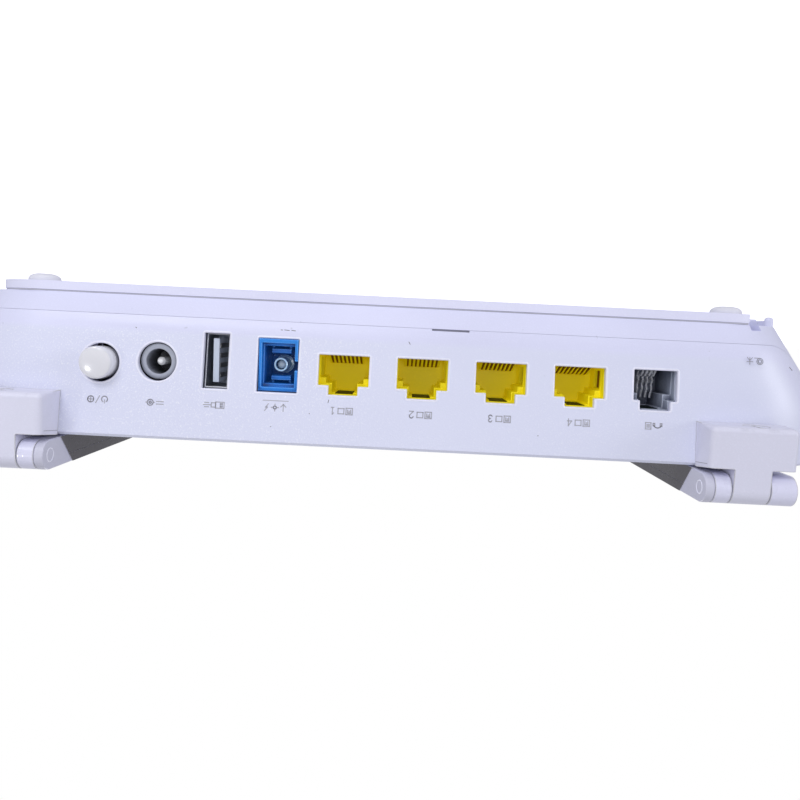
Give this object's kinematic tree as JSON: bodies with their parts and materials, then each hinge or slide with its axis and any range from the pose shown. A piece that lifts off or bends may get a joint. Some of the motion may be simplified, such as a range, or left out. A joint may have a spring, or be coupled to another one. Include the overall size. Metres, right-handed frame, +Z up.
{
  "type": "optical network terminal",
  "caption": "Low white desktop fibre gateway with a leaning port panel, a sprung power button, folding flat antennas on hinge blocks and a removable fibre cover with feet.",
  "frame": {"origin": "middle of the whole object on the surface it stands on", "axes": "+Z up, the port panel faces -Y, +X is to the right of a person looking at the ports"},
  "size_m": [0.242, 0.158, 0.046],
  "materials": {
    "white_shell": "fine satin texture, faintly lavender white",
    "bracket_shell": "satin, slightly greyer white",
    "antenna_white": "satin white",
    "circuit_board": "green solder mask",
    "yellow_plastic": "semi-gloss yellow",
    "grey_plastic": "satin grey",
    "dark_grey_plastic": "satin dark grey",
    "black_plastic": "matt black",
    "blue_plastic": "semi-gloss blue",
    "white_gloss": "glossy neutral white",
    "ceramic_white": "polished ceramic",
    "clear_plastic": "clear polycarbonate light guide",
    "led_plastic": "green indicator",
    "plated_steel": "tin-plated sheet",
    "contact_metal": "tinned spring wire",
    "gold_contacts": "gold-plated spring wire",
    "screw_steel": "zinc-plated",
    "heatsink_aluminium": "extruded, anodised",
    "foot_rubber": "soft white rubber",
    "cable_black": "thin coaxial lead"
  },
  "bodies": {
    "housing": {"top_cover": "white_shell", "bottom_tray": "white_shell", "main_board": "circuit_board", "phone_jack": "grey_plastic", "phone_contacts": "contact_metal", "usb_shell": "plated_steel", "usb_tongue": "grey_plastic", "usb_contacts": "gold_contacts", "dc_jack_body": "dark_grey_plastic", "dc_jack_pin": "plated_steel", "dc_jack_spring": "contact_metal", "switch_body": "black_plastic", "fibre_adapter": "blue_plastic", "fibre_latch_arms": "blue_plastic", "fibre_sleeve": "ceramic_white", "optical_module": "plated_steel", "processor_heatsink": "heatsink_aluminium", "wifi_shield_can": "plated_steel", "board_chips": "black_plastic", "board_capacitors": "dark_grey_plastic", "light_pipes": "clear_plastic", "indicator_leds": "led_plastic", "housing_screws": "screw_steel", "board_screws": "screw_steel", "antenna_pigtails": "cable_black", "lan_jack_1": "yellow_plastic", "lan_contacts_1": "gold_contacts", "lan_jack_2": "yellow_plastic", "lan_contacts_2": "gold_contacts", "lan_jack_3": "yellow_plastic", "lan_contacts_3": "gold_contacts", "lan_jack_4": "yellow_plastic", "lan_contacts_4": "gold_contacts", "hinge_bracket_left": "bracket_shell", "bracket_screw_left": "bracket_shell", "hinge_bracket_right": "bracket_shell", "bracket_screw_right": "bracket_shell"},
    "power_key": {"power_button": "white_gloss", "switch_plunger": "white_gloss"},
    "fibre_lid": {"fibre_cover": "white_shell", "rubber_foot_1": "foot_rubber", "rubber_foot_2": "foot_rubber", "rubber_foot_3": "foot_rubber", "rubber_foot_4": "foot_rubber"},
    "left_antenna": {"antenna_shell_left": "antenna_white", "antenna_cover_left": "antenna_white", "antenna_side_cap_left": "antenna_white", "antenna_element_left": "circuit_board", "antenna_lead_left": "cable_black", "hinge_pin_left": "screw_steel"},
    "right_antenna": {"antenna_shell_right": "antenna_white", "antenna_cover_right": "antenna_white", "antenna_side_cap_right": "antenna_white", "antenna_element_right": "circuit_board", "antenna_lead_right": "cable_black", "hinge_pin_right": "screw_steel"}
  },
  "joints": [
    {"name": "power_key_push", "type": "slide", "parent": "housing", "child": "power_key", "axis": [0, 1, 0], "range_m": [0, 0.0025], "stiffness_N_per_m": 800, "springref_m": -0.0005},
    {"name": "fibre_lid_slide", "type": "slide", "parent": "housing", "child": "fibre_lid", "axis": [0, 1, 0], "range_m": [0, 0.11]},
    {"name": "left_antenna_fold", "type": "hinge", "parent": "housing", "child": "left_antenna", "pos_m": [-0.0857, -0.0755, 0.0425], "axis": [1, 0, 0], "range_deg": [0, 180]},
    {"name": "right_antenna_fold", "type": "hinge", "parent": "housing", "child": "right_antenna", "pos_m": [0.0857, -0.0755, 0.0425], "axis": [1, 0, 0], "range_deg": [0, 180]}
  ]
}
